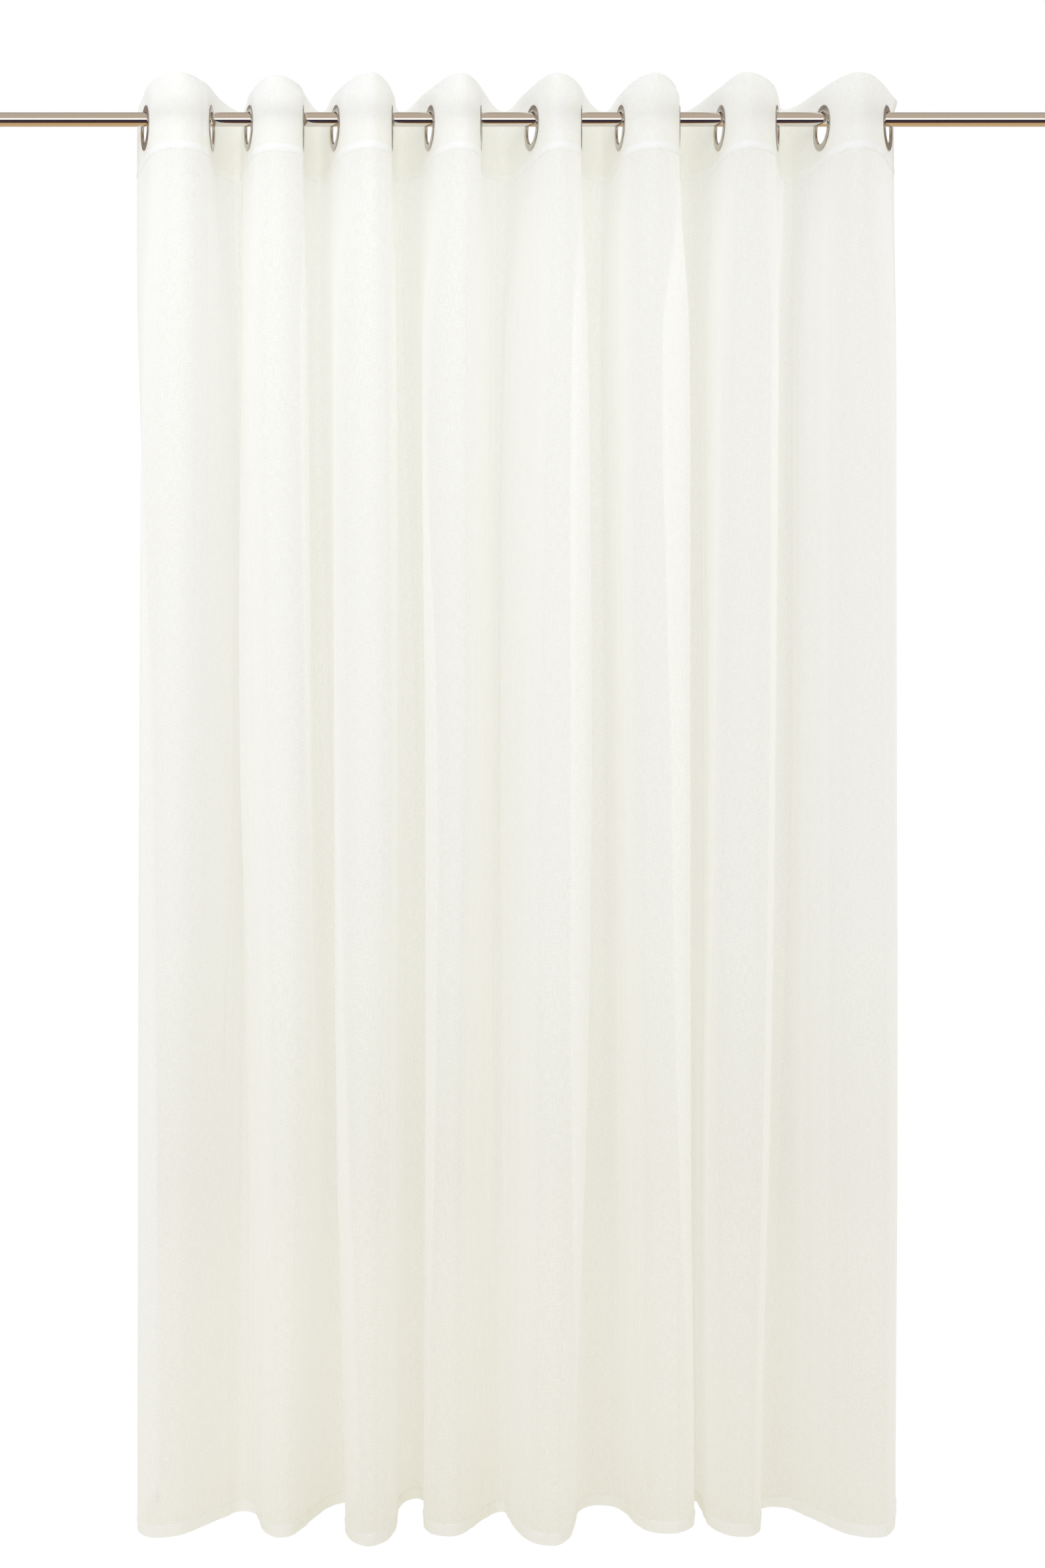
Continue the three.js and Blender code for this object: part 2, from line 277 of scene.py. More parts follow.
# How far a turned layer lies from the middle of the cloth
LAYER = 0.4 * MM
SIDE_LAYER = 1.0 * MM


def srgb(code):
    """A #RRGGBB colour as linear red, green, blue and a full alpha."""
    channels = [int(code[i:i + 2], 16) / 255 for i in (1, 3, 5)]
    linear = [c / 12.92 if c <= 0.04045 else ((c + 0.055) / 1.055) ** 2.4 for c in channels]
    return (*linear, 1.0)


class VoileSettings(bpy.types.PropertyGroup):
    """The cloth's colour, weave and sheerness."""

    thread: FloatVectorProperty(
        name="Thread colour", description="Colour of the yarn where it lies close",
        subtype="COLOR", size=4, min=0, max=1, default=srgb("#FFFFFC"))
    gap: FloatVectorProperty(
        name="Gap colour", description="Colour of the yarn where the weave is open",
        subtype="COLOR", size=4, min=0, max=1, default=srgb("#FEFDF7"))
    sheerness: FloatProperty(
        name="Sheerness", description="Share of the light that passes straight through one layer",
        subtype="FACTOR", min=0, max=1, default=0.28)
    glow: FloatProperty(
        name="Glow", description="Share of the scattered light that leaves on the far side",
        subtype="FACTOR", min=0, max=1, default=0.47)
    heading_density: FloatProperty(
        name="Heading density", description="How far the heading's two layers close its weave",
        subtype="FACTOR", min=0, max=1, default=0.6)
    hem_density: FloatProperty(
        name="Hem density", description="How far the hem's three layers close its weave",
        subtype="FACTOR", min=0, max=1, default=0.65)
    thread_step: FloatProperty(
        name="Thread step", description="Distance between the slubs that are drawn",
        unit="LENGTH", min=0.0005, max=0.01, default=0.0014)
    slub_length: FloatProperty(
        name="Slub length", description="How far a thick place in the yarn runs",
        unit="LENGTH", min=0.005, max=0.2, default=0.009)


class StitchSettings(bpy.types.PropertyGroup):
    """The sewn rows that hold the turned edges."""

    length: FloatProperty(
        name="Stitch length", description="Length of one stitch with its gap",
        unit="LENGTH", min=0.001, max=0.01, default=0.0035)
    thread_width: FloatProperty(
        name="Thread width", description="Width of the sewing thread",
        unit="LENGTH", min=0.0001, max=0.002, default=0.0005)
    colour: FloatVectorProperty(
        name="Thread colour", description="Colour of the sewing thread",
        subtype="COLOR", size=4, min=0, max=1, default=srgb("#F4EFE0"))


class EyeletSettings(bpy.types.PropertyGroup):
    """The rings that are pressed through the heading."""

    sides: IntProperty(
        name="Sides", description="Steps around one ring", min=12, max=128, default=64)
    plating: FloatVectorProperty(
        name="Plating colour", description="Colour of the nickel plating",
        subtype="COLOR", size=4, min=0, max=1, default=srgb("#C9C2B8"))
    gloss: FloatProperty(
        name="Roughness", description="Roughness of the plating",
        subtype="FACTOR", min=0, max=1, default=0.2)


class RodSettings(bpy.types.PropertyGroup):
    """The rod."""

    sides: IntProperty(
        name="Sides", description="Steps around the rod", min=16, max=192, default=96)
    bevel: FloatProperty(
        name="End bevel", description="Width of the bevel at each cut end",
        unit="LENGTH", min=0, max=0.005, default=0.0008)
    steel: FloatVectorProperty(
        name="Steel colour", description="Colour of the polished steel",
        subtype="COLOR", size=4, min=0, max=1, default=srgb("#E0DCD6"))
    gloss: FloatProperty(
        name="Roughness", description="Roughness of the polished steel",
        subtype="FACTOR", min=0, max=1, default=0.1)


class StudioSettings(bpy.types.PropertyGroup):
    """Floor, lights and camera."""

    floor_drop: FloatProperty(
        name="Floor below hem", description="Clear space between the hem and the floor",
        unit="LENGTH", min=0.005, max=1, default=0.12)
    camera_distance: FloatProperty(
        name="Camera distance", description="Distance of the camera from the rod's plane",
        unit="LENGTH", min=1, max=10, default=3.0)
    camera_drop: FloatProperty(
        name="Camera below rod", description="How far below the rod the camera stands",
        unit="LENGTH", min=0, max=3, default=1.047)
    back_power: FloatProperty(
        name="Back light", description="Power of the soft light that shines through the cloth",
        min=0, max=500, default=19)
    lens: FloatProperty(
        name="Lens", description="Focal length on a 36 mm sensor", min=10, max=200, default=43.71)
    key_power: FloatProperty(
        name="Key light", description="Power of the soft light above the rod",
        min=0, max=500, default=4)
    front_power: FloatProperty(
        name="Front light", description="Power of the large soft light behind the camera",
        min=0, max=500, default=25)


def value_at(row, z):
    """A row's value at height z, on a smooth curve through the heights that the row names."""
    heights = [HEIGHTS[key] for key in row]
    values = list(row.values())
    if z >= heights[0]:
        return values[0]
    last = len(heights) - 1
    after = next((i for i, height in enumerate(heights) if height <= z), last)

    def slope(i):
        """The curve's slope at one of the heights, and none at either end."""
        if i in (0, last):
            return 0.0
        return (values[i + 1] - values[i - 1]) / (heights[i + 1] - heights[i - 1])

    span = heights[after] - heights[after - 1]
    t = (z - heights[after - 1]) / span
    return (values[after - 1] * (1 + 2 * t) * (1 - t) ** 2
            + slope(after - 1) * span * t * (1 - t) ** 2
            + values[after] * t * t * (3 - 2 * t)
            + slope(after) * span * t * t * (t - 1))


def smooth_share(value, low, high):
    """0 below low, 1 above high, and a smooth rise between."""
    t = min(max((value - low) / (high - low), 0.0), 1.0)
    return t * t * (3 - 2 * t)


def mix(a, b, share):
    """The value that lies this share of the way from a to b."""
    return a + (b - a) * share


def side_at(index, z):
    """A fold's side at height z: its middle, its direction in the cloth's order, half its run."""
    free = smooth_share(z, EYELET_TOP_Z, TOP_EDGE_Z)
    top = TOP_EDGE[index]
    lean = math.radians(mix(value_at(SIDE_LEAN[index], z), top["lean"], free))
    backwards = -1 if index % 2 == 0 else 1
    along = np.array((math.sin(lean), backwards * math.cos(lean)))
    middle = np.array((mix(value_at(SIDE_X[index], z), top["x"], free) * MM, 0.0))
    return middle, along, mix(value_at(STRAIGHT_RUN, z), TOP_EDGE_RUN, free)


def half_turn(point, along, turn, width, sign, roundness):
    """Points of a smooth curve from the end of a side to its crest or valley."""
    rise = abs(turn[1] - point[1])
    reach = max(abs(turn[0] - point[0]), LEAST_REACH * width)
    side_handle = point + along * sign * roundness * rise
    turn_handle = turn - np.array((sign * roundness * reach, 0.0))
    t = np.linspace(0, 1, FOLD_STEPS + 1)[:, None]
    return ((1 - t) ** 3 * point + 3 * (1 - t) ** 2 * t * side_handle
            + 3 * (1 - t) * t * t * turn_handle + t ** 3 * turn)


def span_line(index, z):
    """The cloth's middle line from the middle of one side to the middle of the next."""
    before, before_along, run = side_at(index, z)
    after, after_along, _ = side_at(index + 1, z)
    start = before + before_along * run
    end = after - after_along * run
    width = abs(end[0] - start[0])
    roundness = value_at(ROUNDNESS, z)
    turn = np.array(((before[0] + after[0]) / 2 + value_at(TURN_SHIFT[index], z) * MM,
                     value_at(TURN_Y[index], z) * MM))
    inward = half_turn(start, before_along, turn, width, 1, roundness)
    outward = half_turn(end, after_along, turn, width, -1, roundness)[::-1]
    return np.vstack((before, inward, outward[1:], after))


def lengths_along(line):
    """The distance from a line's first point to each of its points."""
    return np.concatenate(([0.0], np.cumsum(np.linalg.norm(np.diff(line, axis=0), axis=1))))


def columns_of_cloth():
    """For each column: its span, its share of the span's length, its distance and its layer.

    Spans -1 and SPANS are the strips outside the outer eyelets, where the share is a distance.
    """
    columns = []
    hem_steps = np.linspace(SIDE_HEM, 0, COLUMNS_IN_SIDE_HEM)
    columns += [(-1, LEFT_EDGE_TO_EYELET - d, -LEFT_EDGE_TO_EYELET - d, 1) for d in hem_steps]
    edge_steps = np.linspace(LEFT_EDGE_TO_EYELET, 0, COLUMNS_AT_LEFT_EDGE, endpoint=False)
    columns += [(-1, d, -d, 0) for d in edge_steps]
    start = 0.0
    for index in range(SPANS):
        length = lengths_along(span_line(index, 0.0))[-1]
        near = np.arange(COLUMNS_AT_EYELET) * COLUMN_STEP_AT_EYELET
        first = COLUMNS_AT_EYELET * COLUMN_STEP_AT_EYELET
        between = np.linspace(first, length - first, COLUMNS_BETWEEN)
        distances = np.concatenate((near, between, (length - near[:0:-1])))
        columns += [(index, d / length, start + d, 0) for d in distances]
        start += length
    edge_steps = np.linspace(0, RIGHT_EDGE_TO_EYELET, COLUMNS_AT_RIGHT_EDGE)
    columns += [(SPANS, d, start + d, 0) for d in edge_steps]
    hem_steps = np.linspace(0, SIDE_HEM, COLUMNS_IN_SIDE_HEM)
    right = start + RIGHT_EDGE_TO_EYELET
    columns += [(SPANS, RIGHT_EDGE_TO_EYELET - d, right + d, 1) for d in hem_steps]
    return columns


def rows_of_cloth():
    """For each row, in the order of the cloth: its height, its layer and its distance along it."""
    rows = []

    def add(heights, layer):
        """Rows in one layer: 1 towards the back, -1 towards the front, 0 between."""
        rows.extend((z, layer) for z in heights)

    seam_rows = [SEAM_Z + rise * MM for rise in SEAM_ROWS]
    hem_rows = [HEM_TOP_Z - rise * MM for rise in SEAM_ROWS[::-1]]
    add(np.linspace(SEAM_Z + HEADING_TUCK, SEAM_Z + NIB, ROWS_IN_TUCK), 0)
    add([SEAM_Z], 0.5)
    add(np.linspace(SEAM_Z + NIB, TOP_EDGE_Z - FOLDED_EDGE, ROWS_IN_TURNED_HEADING), 1)
    add([TOP_EDGE_Z - NIB], 1)
    add([TOP_EDGE_Z], 0)
    add([TOP_EDGE_Z - NIB], -1)
    heading = int((TOP_EDGE_Z - seam_rows[0]) / ROW_STEP_IN_HEADING) + 1
    add(np.linspace(TOP_EDGE_Z - FOLDED_EDGE, seam_rows[0], heading)[:-1], -1)
    add(seam_rows, -1)
    below = int((seam_rows[-1] - hem_rows[0]) / ROW_STEP_BELOW) + 1
    add(np.linspace(seam_rows[-1], hem_rows[0], below)[1:-1], -1)
    add(hem_rows, -1)
    add([HEM_Z + 6 * MM, HEM_Z + FOLDED_EDGE, HEM_Z + NIB], -1)
    add([HEM_Z], 0)
    add([HEM_Z + NIB, HEM_Z + FOLDED_EDGE, HEM_Z + 9 * MM, HEM_TOP_Z - NIB], 1)
    add([HEM_TOP_Z], 0.5)
    add(np.linspace(HEM_TOP_Z - NIB, HEM_TOP_Z - HEM_TUCK, ROWS_IN_TUCK), 0)
    distance = 0.0
    full = []
    for i, (z, layer) in enumerate(rows):
        if i:
            distance += abs(z - rows[i - 1][0])
        full.append((float(z), layer, distance))
    return full


class Cloth:
    """The hanging sheet: its columns, its rows, and its points at any height."""

    def __init__(self):
        self.columns = columns_of_cloth()
        self.rows = rows_of_cloth()
        self.spans = np.array([c[0] for c in self.columns])
        self.shares = np.array([c[1] for c in self.columns])
        self.distances = np.array([c[2] for c in self.columns])
        self.side_layers = np.array([c[3] for c in self.columns])
        self.eyelet_distances = self.find_eyelets()

    def find_eyelets(self):
        """How far along the flat cloth each eyelet lies."""
        starts = [self.distances[(self.spans == index) & (self.shares == 0)][0]
                  for index in range(SPANS)]
        last = lengths_along(span_line(SPANS - 1, 0.0))[-1]
        return starts + [starts[-1] + last]

    def middle_line(self, z, spans, shares):
        """Points of the cloth's middle line at height z, for columns by span and share."""
        points = np.zeros((len(spans), 2))
        for index in range(SPANS):
            chosen = spans == index
            if not chosen.any():
                continue
            line = span_line(index, z)
            along = lengths_along(line)
            target = shares[chosen] * along[-1]
            points[chosen, 0] = np.interp(target, along, line[:, 0])
            points[chosen, 1] = np.interp(target, along, line[:, 1])
        for index, side, sign in ((-1, 0, -1), (SPANS, SPANS, 1)):
            chosen = spans == index
            middle, along, _ = side_at(side, z)
            points[chosen] = middle + shares[chosen][:, None] * along * sign
        return points

    def back_normals(self, points):
        """The direction towards the cloth's back at each point of a section."""
        step = np.gradient(points, axis=0)
        step /= np.maximum(np.linalg.norm(step, axis=1, keepdims=True), 1e-9)
        return np.stack((-step[:, 1], step[:, 0]), axis=1)

    def section(self, z):
        """Middle line and back normals at height z, for every column."""
        points = self.middle_line(z, self.spans, self.shares)
        front = self.side_layers == 0
        normals = np.zeros_like(points)
        normals[front] = self.back_normals(points[front])
        ends = np.flatnonzero(front)[[0, -1]]
        normals[:ends[0]] = normals[ends[0]]
        normals[ends[1] + 1:] = normals[ends[1]]
        return points, normals


def ripples(rows, distance, place):
    """The height in mm of ripples across the cloth, which wander with the place."""
    total = 0.0
    for row in rows:
        wander = row["wander"] * np.sin(place * row["wander_rate"] + row["wander_start"])
        total = total + row["height"] * np.sin(distance * row["rate"] + wander)
    return total


def relief(distance, z, starts):
    """How far the cloth's waves, creases and seams move it towards its back, in metres."""
    total = ripples(WAVES, distance, z) * smooth_share(-z, WAVES_START, WAVES_FULL)
    for crease in CREASES:
        start, end = crease["start"] * MM, crease["end"] * MM
        strength = (smooth_share(start - z, -CREASE_FADE / 2, CREASE_FADE / 2)
                    * smooth_share(z - end, -CREASE_FADE / 2, CREASE_FADE / 2))
        if strength > 0:
            shares = {key: crease[key] for key in HEIGHTS}
            middle = starts[crease["span"]] + value_at(shares, z) * EYELET_STEP
            across = np.abs(distance - middle) / (crease["half"] * MM)
            total += strength * crease["depth"] * np.exp(-across ** 1.3)
    for mark in PRESSED_MARKS:
        middle = starts[mark["span"]] + mark["share"] * EYELET_STEP
        across = np.abs(distance - middle) / (mark["half"] * MM)
        slope = MARK_SLOPE * (distance - middle)
        down = np.abs(z - mark["height"] * MM - slope) / MARK_HALF_HEIGHT
        total += MARK_DEPTH * np.exp(-across ** 4) * np.exp(-down ** 2)
    nearest = np.min(np.abs(distance[:, None] - np.array(starts)), axis=1)
    from_eyelet = np.hypot(nearest, z - EYELET_Z)
    total *= np.clip((from_eyelet - HELD_RADIUS) / HELD_FADE, 0, 1)
    seams = seam_relief(distance, z - SEAM_Z) + seam_relief(distance, HEM_TOP_Z - z)
    return (total + seams) * MM


def seam_relief(distance, rise):
    """How far in or out a sewn line and its thick edge stand, in mm, at this height above it."""
    if abs(rise) > SEAM_REACH:
        return np.zeros_like(distance)
    thick = (TURNED_EDGE * smooth_share(rise, -0.5 * MM, 0.9 * MM)
             * smooth_share(HEADING_TUCK - rise, 0, 5 * MM))
    drawn = math.exp(-(rise / DRAWN_IN) ** 2)
    uneven = 1 + 0.3 * np.sin(distance * 157)
    return ripples(PUCKERS, distance, distance) * drawn - thick * uneven


def cloth_mesh(cloth):
    """Vertices, faces and flat coordinates of the sheet with its eyelet holes."""
    columns = len(cloth.columns)
    flat = []
    points = []
    for z, layer, along in cloth.rows:
        line, normals = cloth.section(z)
        offset = (layer * LAYER + cloth.side_layers * SIDE_LAYER
                  + relief(cloth.distances, z, cloth.eyelet_distances))
        moved = line + normals * offset[:, None]
        points.append(np.column_stack((moved, np.full(columns, z))))
        flat.append(np.column_stack((cloth.distances, np.full(columns, along))))
    points = np.array(points)
    flat = np.array(flat)
    heights = np.array([row[0] for row in cloth.rows])
    inside = np.zeros((len(cloth.rows), columns), bool)
    for eyelet in cloth.eyelet_distances:
        across = cloth.distances - eyelet
        far = np.hypot(across[None, :], heights[:, None] - EYELET_Z)
        inside |= far < HOLE_RADIUS - 0.5 * COLUMN_STEP_AT_EYELET
    kept = ~(inside[:-1, :-1] | inside[1:, :-1] | inside[:-1, 1:] | inside[1:, 1:])
    number = np.arange(len(cloth.rows) * columns).reshape(len(cloth.rows), columns)
    quads = np.stack((number[:-1, :-1], number[1:, :-1], number[1:, 1:], number[:-1, 1:]), axis=-1)
    return points, flat, quads[kept], kept


def snap_to_holes(cloth, points, kept):
    """Moves the vertices around each hole onto its circle, along the flat cloth."""
    rows, columns = points.shape[:2]
    heights = np.array([row[0] for row in cloth.rows])
    missing = np.zeros((rows, columns), bool)
    for up in (0, 1):
        for right in (0, 1):
            missing[up:rows - 1 + up, right:columns - 1 + right] |= ~kept
    for index, eyelet in enumerate(cloth.eyelet_distances):
        _, along, _ = side_at(index, EYELET_Z)
        across = cloth.distances - eyelet
        far = np.hypot(across[None, :], heights[:, None] - EYELET_Z)
        near = missing & (far < 2 * HOLE_RADIUS) & (far > 1e-6)
        for row, column in zip(*np.nonzero(near)):
            scale = HOLE_RADIUS / far[row, column] - 1
            shift = across[column] * scale
            points[row, column, :2] += along * shift
            points[row, column, 2] += (heights[row] - EYELET_Z) * scale
    return points


def front_places(cloth, points, distances, heights):
    """Points of the cloth's front and its outward directions, at these distances and heights."""
    front = [i for i, row in enumerate(cloth.rows) if row[1] == -1]
    levels = np.array([cloth.rows[i][0] for i in front])
    columns = np.flatnonzero(cloth.side_layers == 0)
    sheet = points[front][:, columns]
    down = np.interp(-heights, -levels, np.arange(len(levels)))
    across = np.interp(distances, cloth.distances[columns], np.arange(len(columns)))
    row = np.minimum(down.astype(int), len(levels) - 2)
    column = np.minimum(across.astype(int), len(columns) - 2)
    down = (down - row)[:, None]
    across = (across - column)[:, None]
    corner, right = sheet[row, column], sheet[row, column + 1]
    below, opposite = sheet[row + 1, column], sheet[row + 1, column + 1]
    place = mix(mix(corner, right, across), mix(below, opposite, across), down)
    outward = np.cross(below - corner, right - corner)
    return place, outward / np.linalg.norm(outward, axis=1, keepdims=True)


def new_object(name, points, faces, smooth=True):
    """A mesh object of the named piece, in the frame's own place."""
    used = np.unique(np.concatenate([np.ravel(face) for face in faces]))
    renumber = np.full(len(points), -1)
    renumber[used] = np.arange(len(used))
    mesh = bpy.data.meshes.new(name)
    mesh.from_pydata([tuple(points[i]) for i in used], [],
                     [tuple(int(renumber[i]) for i in face) for face in faces])
    mesh.update()
    piece = bpy.data.objects.new(name, mesh)
    bpy.context.scene.collection.objects.link(piece)
    if smooth:
        mesh.polygons.foreach_set("use_smooth", np.ones(len(mesh.polygons), bool))
    return piece, used


def add_flat_coordinates(piece, flat):
    """A UV map in metres of flat cloth, one pair for each vertex."""
    layer = piece.data.uv_layers.new(name="flat_cloth")
    corners = np.zeros(len(piece.data.loops), int)
    piece.data.loops.foreach_get("vertex_index", corners)
    layer.data.foreach_set("uv", flat[corners].ravel())


def node(tree, kind, links=None, **settings):
    """Adds a node with its settings, sets or links its inputs, and returns it."""
    added = tree.nodes.new(kind)
    for name, value in settings.items():
        setattr(added, name, value)
    for socket, value in (links or {}).items():
        if isinstance(value, bpy.types.NodeSocket):
            tree.links.new(value, added.inputs[socket])
        else:
            added.inputs[socket].default_value = value
    return added


def new_material(name):
    """An empty node material and its output node."""
    material = bpy.data.materials.new(name)
    material.use_nodes = True
    tree = material.node_tree
    tree.nodes.clear()
    output = tree.nodes.new("ShaderNodeOutputMaterial")
    return material, tree, output


def step_at(tree, value, place, half, before, after):
    """A value that changes from before to after as the given one passes place."""
    return node(tree, "ShaderNodeMapRange", {
        "Value": value, "From Min": place - half, "From Max": place + half,
        "To Min": before, "To Max": after}).outputs[0]


def voile_material(settings):
    """Plain-woven voile of slubbed cotton and linen yarn, left unbleached, so it is ivory.

    Its thin uneven yarn leaves pinholes, so it is see-through where it lies flat to the eye, and
    its fibres scatter what they catch: matte, with a soft glow from light behind it.
    """
    material, tree, output = new_material("ivory_slub_voile")
    flat = node(tree, "ShaderNodeUVMap", uv_map="flat_cloth").outputs["UV"]

    def slubs(across, along, seed):
        """Thick and thin places in the yarn, of this width and length."""
        # The real yarn is 0.5 mm apart. It is drawn coarser, at thread_step, so that it shows.
        stretched = node(tree, "ShaderNodeMapping", {
            "Vector": flat, "Location": (seed, seed, 0), "Scale": (1 / across, 1 / along, 1)})
        texture = node(tree, "ShaderNodeTexNoise", {
            "Vector": stretched.outputs[0], "Scale": 1.0, "Detail": 2.0, "Roughness": 0.6},
            noise_dimensions="2D")
        return texture.outputs["Fac"]

    warp = slubs(settings.thread_step, 2 * settings.slub_length, 3.1)
    weft = slubs(settings.slub_length, settings.thread_step, 7.7)
    # The cloth is a little closer and a little more open in patches a few centimetres across
    cloud = slubs(0.035, 0.05, 5.3)
    crossed = node(tree, "ShaderNodeMath", {0: warp, 1: weft}, operation="ADD").outputs[0]
    density = node(tree, "ShaderNodeMath", {0: cloud, 1: 0.1, 2: crossed},
                   operation="MULTIPLY_ADD").outputs[0]
    woven = node(tree, "ShaderNodeMapRange", {
        "Value": density, "From Min": 0.75, "From Max": 1.4, "To Min": 0.0, "To Max": 1.0})
    # Where an edge is turned, the front is drawn with the density of all its layers, and the
    # layers behind it clear. Three layers overlap just above the heading's seam.
    place = node(tree, "ShaderNodeSeparateXYZ", {0: flat}).outputs["Y"]
    turned_end = HEADING_TUCK + HEADING_DEPTH
    heading_end = turned_end + HEADING_DEPTH
    hem_edge = turned_end + DROP
    heading = step_at(tree, place, heading_end, 0.7 * MM, 1.0, 0.0)
    tuck = step_at(tree, place, heading_end - HEADING_TUCK, 1.5 * MM, 0.0, 0.2)
    two_layers = step_at(tree, place, heading_end - HEADING_TUCK, 1.5 * MM, 1.0, 0.0)
    hem = step_at(tree, place, hem_edge - HEM_DEPTH, 0.7 * MM, 0.0, settings.hem_density)
    layers = node(tree, "ShaderNodeMath", {0: tuck, 1: settings.heading_density}, operation="ADD")
    dense = node(tree, "ShaderNodeMath", {0: heading, 1: layers.outputs[0], 2: hem},
                 operation="MULTIPLY_ADD").outputs[0]
    turned = node(tree, "ShaderNodeMath", {
        0: step_at(tree, place, turned_end - MM, 0.5 * MM, 0.9, 0.0),
        1: step_at(tree, place, hem_edge + MM, 0.5 * MM, 0.0, 0.9)}, operation="ADD").outputs[0]
    share = node(tree, "ShaderNodeMix", {0: dense, 2: woven.outputs[0], 3: 0.9})
    woven_colour = node(tree, "ShaderNodeMix", {
        0: share.outputs[0], 6: tuple(settings.gap), 7: tuple(settings.thread)}, data_type="RGBA")
    # Painted shade: over the heading the colour is darkened a little for the shade that its two
    # layers cast on each other, most where the weave is open, so it also draws the weave's grain
    # there
    painted_layer_shade = node(tree, "ShaderNodeMix", {
        0: woven.outputs[0], 6: srgb("#FBFAF3"), 7: srgb("#FFFFFF")}, data_type="RGBA")
    # The painted layer shade is multiplied into the cloth's colour over the heading only
    colour = node(tree, "ShaderNodeMix", {
        0: two_layers, 6: woven_colour.outputs[2], 7: painted_layer_shade.outputs[2]},
        data_type="RGBA", blend_type="MULTIPLY")
    bump = node(tree, "ShaderNodeBump", {
        "Strength": 0.12, "Distance": 0.25 * MM, "Height": crossed})
    yarn = node(tree, "ShaderNodeBsdfPrincipled", {
        "Base Color": colour.outputs[2], "Roughness": 0.92, "Normal": bump.outputs[0],
        "Specular IOR Level": 0.0})
    glow = node(tree, "ShaderNodeBsdfTranslucent", {
        "Color": colour.outputs[2], "Normal": bump.outputs[0]})
    passed_on = node(tree, "ShaderNodeMapRange", {
        "Value": dense, "To Min": settings.glow, "To Max": settings.glow * 0.7})
    fibres = node(tree, "ShaderNodeMixShader", {
        0: passed_on.outputs[0], 1: yarn.outputs[0], 2: glow.outputs[0]})
    pinholes = node(tree, "ShaderNodeBsdfTransparent", {"Color": srgb("#FDFDFA")})
    sheer = node(tree, "ShaderNodeMapRange", {
        "Value": share.outputs[0], "From Min": 0.0, "From Max": 1.0,
        "To Min": settings.sheerness * 1.13, "To Max": settings.sheerness * 0.87})
    # Seen aslant, the yarn hides its own pinholes, so the folds' edges are the least sheer
    slant = node(tree, "ShaderNodeLayerWeight", {"Blend": 0.5})
    open_share = node(tree, "ShaderNodeMapRange", {
        "Value": slant.outputs["Facing"], "From Min": 0.22, "From Max": 0.85,
        "To Min": 1.0, "To Max": 0.0})
    clear = node(tree, "ShaderNodeMath", {0: sheer.outputs[0], 1: open_share.outputs[0]},
                 operation="MULTIPLY")
    closed = node(tree, "ShaderNodeMapRange", {
        "Value": dense, "From Max": settings.hem_density, "To Min": 1.0, "To Max": 0.2})
    through = node(tree, "ShaderNodeMath", {0: clear.outputs[0], 1: closed.outputs[0]},
                   operation="MULTIPLY")
    seen_through = node(tree, "ShaderNodeMix", {0: turned, 2: through.outputs[0], 3: 1.0})
    surface = node(tree, "ShaderNodeMixShader", {
        0: seen_through.outputs[0], 1: fibres.outputs[0], 2: pinholes.outputs[0]})
    tree.links.new(surface.outputs[0], output.inputs[0])
    return material


def thread_material(settings):
    """Spun polyester sewing thread, dyed to the cloth: a slight sheen along each stitch.

    Its plies show as lighter and darker places about 0.7 mm apart.
    """
    material, tree, output = new_material("spun_polyester_thread")
    place = node(tree, "ShaderNodeTexCoord").outputs["Object"]
    ply = node(tree, "ShaderNodeTexNoise", {"Vector": place, "Scale": 1400.0, "Detail": 2.0})
    colour = node(tree, "ShaderNodeMix", {
        0: ply.outputs["Fac"], 6: tuple(settings.colour), 7: srgb("#FFFDF6")}, data_type="RGBA")
    bump = node(tree, "ShaderNodeBump", {
        "Strength": 0.4, "Distance": 0.1 * MM, "Height": ply.outputs["Fac"]})
    yarn = node(tree, "ShaderNodeBsdfPrincipled", {
        "Base Color": colour.outputs[2], "Roughness": 0.6, "Normal": bump.outputs[0]})
    tree.links.new(yarn.outputs[0], output.inputs[0])
    return material


def metal_material(name, colour, roughness, grain, grain_scale):
    """A polished metal with faint wipe marks along the grain, in its roughness and its bump."""
    material, tree, output = new_material(name)
    place = node(tree, "ShaderNodeTexCoord").outputs["Object"]
    stretched = node(tree, "ShaderNodeMapping", {"Vector": place, "Scale": grain})
    marks = node(tree, "ShaderNodeTexNoise", {
        "Vector": stretched.outputs[0], "Scale": grain_scale, "Detail": 4.0, "Roughness": 0.6})
    rough = node(tree, "ShaderNodeMapRange", {
        "Value": marks.outputs["Fac"], "From Min": 0.3, "From Max": 0.7,
        "To Min": roughness * 0.8, "To Max": roughness * 1.3})
    tint = node(tree, "ShaderNodeMix", {
        0: marks.outputs["Fac"], 6: tuple(colour), 7: tuple(0.9 * c for c in colour[:3]) + (1,)},
        data_type="RGBA")
    bump = node(tree, "ShaderNodeBump", {
        "Strength": 0.08, "Distance": 0.05 * MM, "Height": marks.outputs["Fac"]})
    metal = node(tree, "ShaderNodeBsdfPrincipled", {
        "Base Color": tint.outputs[2], "Metallic": 1.0, "Roughness": rough.outputs[0],
        "Normal": bump.outputs[0]})
    tree.links.new(metal.outputs[0], output.inputs[0])
    return material


def lathe_faces(rings, sides, closed):
    """Quads of a profile of so many rings turned around an axis in so many sides."""
    faces = []
    last = rings if closed else rings - 1
    for ring in range(last):
        after = (ring + 1) % rings
        for side in range(sides):
            beside = (side + 1) % sides
            faces.append((ring * sides + side, after * sides + side,
                          after * sides + beside, ring * sides + beside))
    return faces


def ring_name(index):
    """The name of an eyelet's ring, counted from the left."""
    return f"eyelet_ring_{index + 1:02d}"


